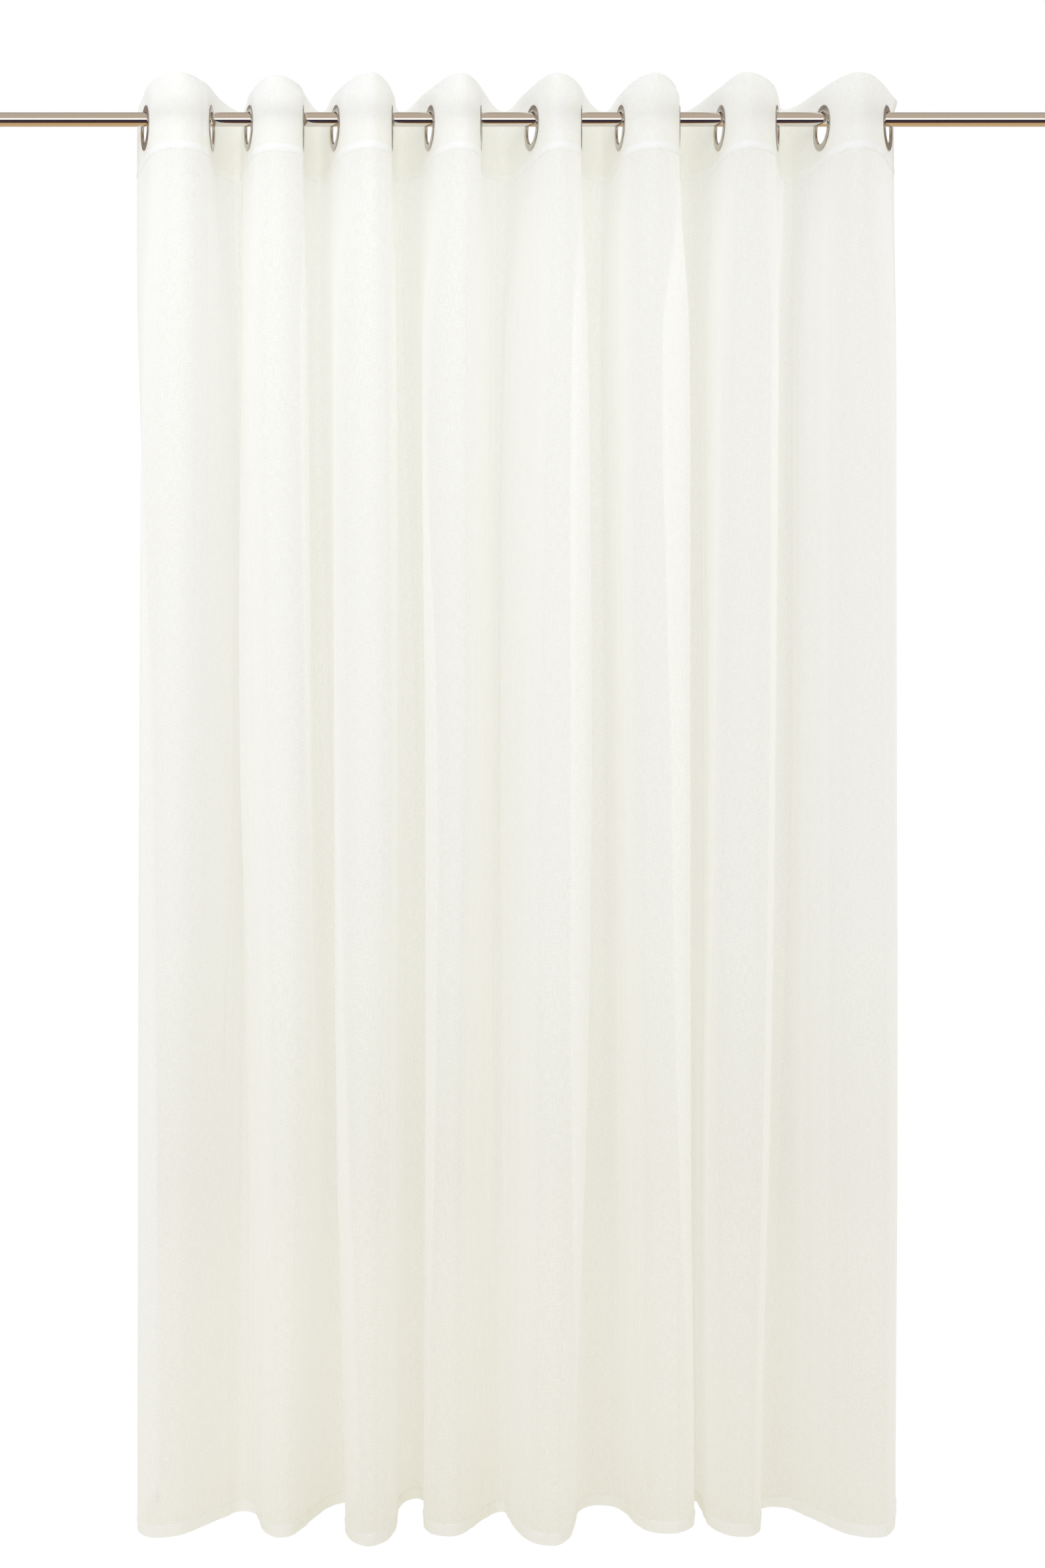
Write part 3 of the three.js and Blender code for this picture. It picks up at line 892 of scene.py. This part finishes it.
class CURTAIN_OT_add_cloth(bpy.types.Operator):
    """Hangs the voile in its folds, with its turned heading and hems"""

    bl_idname = "curtain.add_cloth"
    bl_label = "Add cloth"

    def execute(self, context):
        cloth = Cloth()
        points, flat, quads, kept = cloth_mesh(cloth)
        points = snap_to_holes(cloth, points, kept)
        piece, used = new_object("voile_cloth", points.reshape(-1, 3), quads)
        add_flat_coordinates(piece, flat.reshape(-1, 2)[used])
        piece.data.materials.append(voile_material(context.scene.curtain_voile))
        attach(piece, ROOT)
        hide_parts("curtain")
        return {"FINISHED"}


class CURTAIN_OT_add_stitches(bpy.types.Operator):
    """Sews the rows of stitches that hold the heading, the hem and the side hems"""

    bl_idname = "curtain.add_stitches"
    bl_label = "Add stitches"

    def execute(self, context):
        settings = context.scene.curtain_stitches
        cloth = Cloth()
        sheet, _, _, _ = cloth_mesh(cloth)
        columns = cloth.distances[cloth.side_layers == 0]
        left, right = columns[0] + SEAM_INSET, columns[-1] - SEAM_INSET
        points = []
        faces = []
        for z in (SEAM_Z + STITCH_INSET, HEM_TOP_Z - STITCH_INSET):
            self.add_row(cloth, sheet, settings, (left, z), (right, z), points, faces)
        for distance in (columns[0] + SIDE_HEM - 2 * MM, columns[-1] - SIDE_HEM + 2 * MM):
            self.add_row(cloth, sheet, settings, (distance, SEAM_Z - SEAM_INSET),
                         (distance, HEM_TOP_Z + SEAM_INSET), points, faces)
        piece, _ = new_object("sewn_stitches", np.array(points), faces)
        piece.data.materials.append(thread_material(settings))
        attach(piece, ROOT)
        return {"FINISHED"}

    def add_row(self, cloth, sheet, settings, start, end, points, faces):
        """One row: each stitch dives into the cloth at both ends and lies proud in the middle."""
        span = math.hypot(end[0] - start[0], end[1] - start[1])
        count = int(span / settings.length)
        radius = settings.thread_width / 2
        first = np.arange(count) / count
        rings = []
        for part, lift, size in STITCH_RINGS:
            share = first + part * STITCH_SHARE / count
            place, outward = front_places(cloth, sheet, mix(start[0], end[0], share),
                                          mix(start[1], end[1], share))
            rings.append((place + outward * radius * lift, outward, radius * size))
        along = rings[2][0] - rings[0][0]
        along /= np.linalg.norm(along, axis=1, keepdims=True)
        for i in range(count):
            number = len(points)
            for place, outward, size in rings:
                beside = np.cross(along[i], outward[i])
                for out, side in ((1, 0), (0, 1), (-1, 0), (0, -1)):
                    points.append(place[i] + (outward[i] * out + beside * side) * size)
            faces.append((number, number + 1, number + 2, number + 3))
            faces.append((number + 11, number + 10, number + 9, number + 8))
            for ring in (number, number + 4):
                for side in range(4):
                    after = (side + 1) % 4
                    faces.append((ring + side, ring + 4 + side, ring + 4 + after, ring + after))


class CURTAIN_OT_add_eyelets(bpy.types.Operator):
    """Presses a nickel-plated ring through each hole in the heading"""

    bl_idname = "curtain.add_eyelets"
    bl_label = "Add eyelets"

    def execute(self, context):
        settings = context.scene.curtain_eyelets
        # Nickel plate on pressed steel, buffed all ways: warm grey, with soft and even reflections.
        # The wipe marks are about 17 mm across.
        plating = metal_material("polished_nickel_plate", settings.plating, settings.gloss,
                                 (1, 1, 1), 60.0)
        profile = self.profile()
        for index in range(len(SIDE_X)):
            middle, along, _ = side_at(index, EYELET_Z)
            axis = np.array((-along[1], along[0]))
            points = []
            for radius, height in profile:
                for side in range(settings.sides):
                    angle = 2 * math.pi * side / settings.sides
                    flat = middle + along * radius * math.sin(angle) + axis * height
                    points.append((flat[0], flat[1], EYELET_Z + radius * math.cos(angle)))
            faces = lathe_faces(len(profile), settings.sides, closed=True)
            piece, _ = new_object(ring_name(index), np.array(points), faces)
            piece.data.materials.append(plating)
            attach(piece, ROOT)
            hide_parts(f"eyelet_{index + 1:02d}")
        return {"FINISHED"}

    def profile(self):
        """Radius and height of one ring's section: two domed flanges and the barrel between."""
        inside = EYELET_INSIDE
        outside = EYELET_OUTSIDE
        half = [
            (inside, 0.0), (inside, 1.2 * MM), (inside + 0.2 * MM, 1.8 * MM),
            (inside + 0.8 * MM, 2.1 * MM), (inside + 2.5 * MM, 2.1 * MM),
            (inside + 5.0 * MM, 2.0 * MM), (outside - 2.2 * MM, 1.75 * MM),
            (outside - 1.2 * MM, 1.75 * MM), (outside - 0.4 * MM, 1.6 * MM),
            (outside, 1.25 * MM), (outside - 0.3 * MM, 0.95 * MM),
            (outside - 1.5 * MM, 0.95 * MM), (EYELET_BARREL, 0.95 * MM), (EYELET_BARREL, 0.0),
        ]
        mirrored = [(radius, -height) for radius, height in half[1:-1]][::-1]
        return half + mirrored


class CURTAIN_OT_add_rod(bpy.types.Operator):
    """Turns the rod that carries the eyelets"""

    bl_idname = "curtain.add_rod"
    bl_label = "Add rod"

    def execute(self, context):
        settings = context.scene.curtain_rod
        end = ROD_LENGTH / 2
        bevel = settings.bevel
        stations = [-end, -end + 0.3 * bevel, -end + bevel]
        stations += list(np.linspace(-end + bevel, end - bevel, ROD_STATIONS)[1:])
        stations += [end - 0.3 * bevel, end]
        points = []
        for x in stations:
            inset = max(0.0, abs(x) - end + bevel)
            radius = ROD_RADIUS - bevel + math.sqrt(max(bevel ** 2 - inset ** 2, 0.0))
            for side in range(settings.sides):
                angle = 2 * math.pi * side / settings.sides
                points.append((x, radius * math.sin(angle), radius * math.cos(angle)))
        faces = lathe_faces(len(stations), settings.sides, closed=False)
        last = (len(stations) - 1) * settings.sides
        faces.append(tuple(range(settings.sides)))
        faces.append(tuple(reversed(range(last, last + settings.sides))))
        piece, _ = new_object("rod_bar", np.array(points), faces)
        for polygon in piece.data.polygons[-2:]:
            polygon.use_smooth = False
        # Stainless steel polished in a lathe: its marks run around it, 0.8 mm apart, and it shows
        # long bright and dark bands
        steel = metal_material("polished_stainless_steel", settings.steel, settings.gloss,
                               (40, 1, 1), 30.0)
        piece.data.materials.append(steel)
        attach(piece, ROOT)
        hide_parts("rod")
        return {"FINISHED"}


class CURTAIN_OT_add_stage(bpy.types.Operator):
    """Sets up the floor, the studio light and the camera"""

    bl_idname = "curtain.add_stage"
    bl_label = "Add stage"

    def execute(self, context):
        settings = context.scene.curtain_studio
        context.scene.view_settings.view_transform = "Standard"
        self.add_floor(settings)
        self.add_world(context.scene)
        self.add_lights(settings)
        self.add_camera(context.scene, settings)
        return {"FINISHED"}

    def add_floor(self, settings):
        """Pale paper below the curtain, pure white where the camera sees it bare."""
        size = 12.0
        z = HEM_Z - settings.floor_drop
        corners = np.array([(-size, -size, z), (size, -size, z), (size, size, z), (-size, size, z)])
        floor, _ = new_object("floor", corners, [(0, 1, 2, 3)], smooth=False)
        # Matt paper has no gloss. It is faintly uneven, over about 80 mm.
        material, tree, output = new_material("white_studio_paper")
        grain = node(tree, "ShaderNodeTexNoise", {"Scale": 300.0})
        near = node(tree, "ShaderNodeMix", {
            0: grain.outputs["Fac"], 6: srgb("#DAD5BA"), 7: srgb("#E0DBC0")}, data_type="RGBA")
        # The far paper is paler, so that no horizon shows through the cloth
        place = node(tree, "ShaderNodeTexCoord").outputs["Object"]
        parts = node(tree, "ShaderNodeSeparateXYZ", {0: place})
        ahead = node(tree, "ShaderNodeMapRange", {
            "Value": parts.outputs["Y"], "From Min": -2.0, "From Max": -11.0,
            "To Min": 0.0, "To Max": 1.0})
        before = node(tree, "ShaderNodeMix", {
            0: ahead.outputs[0], 6: near.outputs[2], 7: srgb("#F1F2F8")}, data_type="RGBA")
        far = node(tree, "ShaderNodeMapRange", {
            "Value": parts.outputs["Y"], "From Min": 1.0, "From Max": 10.0,
            "To Min": 0.0, "To Max": 1.0})
        colour = node(tree, "ShaderNodeMix", {
            0: far.outputs[0], 6: before.outputs[2], 7: srgb("#E9E7CD")}, data_type="RGBA")
        paper = node(tree, "ShaderNodeBsdfDiffuse", {"Color": colour.outputs[2]})
        white = node(tree, "ShaderNodeEmission", {"Color": (1, 1, 1, 1), "Strength": 1.0})
        shown = node(tree, "ShaderNodeMixShader", {
            0: self.seen_directly(tree), 1: paper.outputs[0], 2: white.outputs[0]})
        # The dark cards that the metal mirrors stand in front of the floor
        passed = node(tree, "ShaderNodeBsdfTransparent")
        behind_cards = node(tree, "ShaderNodeMixShader", {
            0: self.mirrored_first(tree), 1: shown.outputs[0], 2: passed.outputs[0]})
        tree.links.new(behind_cards.outputs[0], output.inputs[0])
        floor.data.materials.append(material)

    def seen_directly(self, tree):
        """1 where the camera looks at the bare backdrop, and not at its light or through cloth."""
        rays = node(tree, "ShaderNodeLightPath")
        bare = node(tree, "ShaderNodeMath", {0: rays.outputs["Transparent Depth"], 1: 0.5},
                    operation="LESS_THAN")
        return node(tree, "ShaderNodeMath", {0: rays.outputs["Is Camera Ray"], 1: bare.outputs[0]},
                    operation="MULTIPLY").outputs[0]

    def mirrored_first(self, tree):
        """1 for a ray that polished metal mirrors before anything has scattered it."""
        rays = node(tree, "ShaderNodeLightPath")
        scattered = node(tree, "ShaderNodeMath", {
            0: rays.outputs["Diffuse Depth"], 1: rays.outputs["Transmission Depth"]})
        first = node(tree, "ShaderNodeMath", {0: scattered.outputs[0], 1: 0.5},
                     operation="LESS_THAN")
        mirrored = node(tree, "ShaderNodeMath", {
            0: rays.outputs["Is Glossy Ray"], 1: first.outputs[0]}, operation="MULTIPLY")
        return mirrored.outputs[0]

    def add_world(self, scene):
        """White paper to the eye, and a room that is brighter in front than behind."""
        world = bpy.data.worlds.new("studio")
        world.use_nodes = True
        tree = world.node_tree
        tree.nodes.clear()
        direction = node(tree, "ShaderNodeTexCoord").outputs["Generated"]
        parts = node(tree, "ShaderNodeSeparateXYZ", {0: direction})
        behind = node(tree, "ShaderNodeMapRange", {
            "Value": parts.outputs["Y"], "From Min": 0.5, "From Max": 0.95,
            "To Min": 0.0, "To Max": 1.0})
        tint = node(tree, "ShaderNodeMix", {
            0: behind.outputs[0], 6: srgb("#F1F2FF"), 7: srgb("#D9D7CB")}, data_type="RGBA")
        room = node(tree, "ShaderNodeBackground", {
            "Color": tint.outputs[2], "Strength": 1.035})
        forwards = node(tree, "ShaderNodeMath", {0: parts.outputs["Y"], 1: -1.0},
                        operation="MULTIPLY")
        angle = node(tree, "ShaderNodeMath", {0: parts.outputs["Z"], 1: forwards.outputs[0]},
                     operation="ARCTAN2")
        bands = node(tree, "ShaderNodeValToRGB", {
            0: node(tree, "ShaderNodeMapRange", {
                "Value": angle.outputs[0], "From Min": -math.pi, "From Max": math.pi}).outputs[0]})
        self.set_bands(bands.color_ramp)
        gloss = node(tree, "ShaderNodeBackground", {"Color": bands.outputs[0], "Strength": 1.35})
        lit = node(tree, "ShaderNodeMixShader", {
            0: self.mirrored_first(tree), 1: room.outputs[0], 2: gloss.outputs[0]})
        paper = node(tree, "ShaderNodeBackground", {"Color": (1, 1, 1, 1), "Strength": 1.0})
        shown = node(tree, "ShaderNodeMixShader", {
            0: self.seen_directly(tree), 1: lit.outputs[0], 2: paper.outputs[0]})
        output = tree.nodes.new("ShaderNodeOutputWorld")
        tree.links.new(shown.outputs[0], output.inputs[0])
        scene.world = world

    def set_bands(self, ramp):
        """What polished metal mirrors, by the angle above straight ahead, once round the rod."""
        ends = (ramp.elements[0], ramp.elements[1])
        ends[0].color = ends[1].color = srgb("#8A8078")
        stops = [
            (-166, "#C4A780"), (-80, "#C4A780"), (-72, "#4A3528"), (-44, "#4A3528"),
            (-40, "#2A2C49"), (-23, "#2A2C49"), (-18, "#FFFFFF"), (3, "#FFFFFF"),
            (9, "#B9AC9E"), (105, "#B9AC9E"), (114, "#8A8078"),
        ]
        for degrees, colour in stops:
            ramp.elements.new((degrees + 180) / 360).color = srgb(colour)

    def add_lights(self, settings):
        """Two soft lights in front of the cloth, from the left, and one that shines through it."""
        self.add_softbox("key_softbox", (-1.3, -1.6, 0.7), (-0.3, 0, -0.2), (1.0, 0.8),
                         settings.key_power, srgb("#E2E8FF"))
        self.add_softbox("front_softbox", (-1.4, -3.3, 0.5), (0, 0, -0.4), (1.2, 1.0),
                         settings.front_power, srgb("#D8E0FF"))
        self.add_softbox("back_softbox", (-0.6, 2.2, 0.3), (-0.1, 0, -0.5), (1.6, 0.8),
                         settings.back_power, srgb("#F2F7FF"))

    def add_softbox(self, name, place, target, size, power, colour):
        """A soft light that polished metal doesn't mirror, aimed at a point."""
        light = bpy.data.lights.new(name, "AREA")
        light.shape = "RECTANGLE"
        light.size, light.size_y = size
        light.energy = power
        light.color = colour[:3]
        lamp = bpy.data.objects.new(name, light)
        lamp.location = place
        aim = Vector(target) - lamp.location
        lamp.rotation_euler = aim.to_track_quat("-Z", "Y").to_euler()
        lamp.visible_glossy = False
        bpy.context.scene.collection.objects.link(lamp)

    def add_camera(self, scene, settings):
        """The camera, level and straight in front of the curtain."""
        lens = bpy.data.cameras.new("camera")
        lens.lens = settings.lens
        lens.dof.use_dof = False
        camera = bpy.data.objects.new("camera", lens)
        camera.location = (0, -settings.camera_distance, -settings.camera_drop)
        camera.rotation_euler = (math.pi / 2, 0, 0)
        scene.collection.objects.link(camera)
        scene.camera = camera


class CURTAIN_PT_panel(bpy.types.Panel):
    """Lists the curtain's sizes and colours and its operators"""

    bl_idname = "CURTAIN_PT_panel"
    bl_label = "Eyelet curtain"
    bl_space_type = "VIEW_3D"
    bl_region_type = "UI"
    bl_category = "Curtain"

    def draw(self, context):
        """One box for each group, with its values and its operators."""
        for name, (_, operators) in GROUPS.items():
            box = self.layout.box()
            settings = getattr(context.scene, name)
            for key in settings.__annotations__:
                box.prop(settings, key)
            for operator in operators:
                box.operator(operator.bl_idname)


GROUPS = {
    "curtain_voile": (VoileSettings, [CURTAIN_OT_add_cloth]),
    "curtain_stitches": (StitchSettings, [CURTAIN_OT_add_stitches]),
    "curtain_eyelets": (EyeletSettings, [CURTAIN_OT_add_eyelets]),
    "curtain_rod": (RodSettings, [CURTAIN_OT_add_rod]),
    "curtain_studio": (StudioSettings, [CURTAIN_OT_add_stage]),
}


def register():
    """Registers the groups of values, the operators and the panel."""
    for name, (group, operators) in GROUPS.items():
        bpy.utils.register_class(group)
        setattr(bpy.types.Scene, name, PointerProperty(type=group))
        for operator in operators:
            bpy.utils.register_class(operator)
    bpy.utils.register_class(CURTAIN_PT_panel)


def unregister():
    """Takes out the panel, and then each operator and group of values."""
    bpy.utils.unregister_class(CURTAIN_PT_panel)
    for name, (group, operators) in GROUPS.items():
        for operator in operators:
            bpy.utils.unregister_class(operator)
        delattr(bpy.types.Scene, name)
        bpy.utils.unregister_class(group)


def main():
    """Builds the curtain and its stage."""
    register()
    bpy.ops.curtain.add_rod()
    bpy.ops.curtain.add_eyelets()
    bpy.ops.curtain.add_stitches()
    bpy.ops.curtain.add_cloth()
    bpy.ops.curtain.add_stage()


if __name__ == "__main__":
    main()
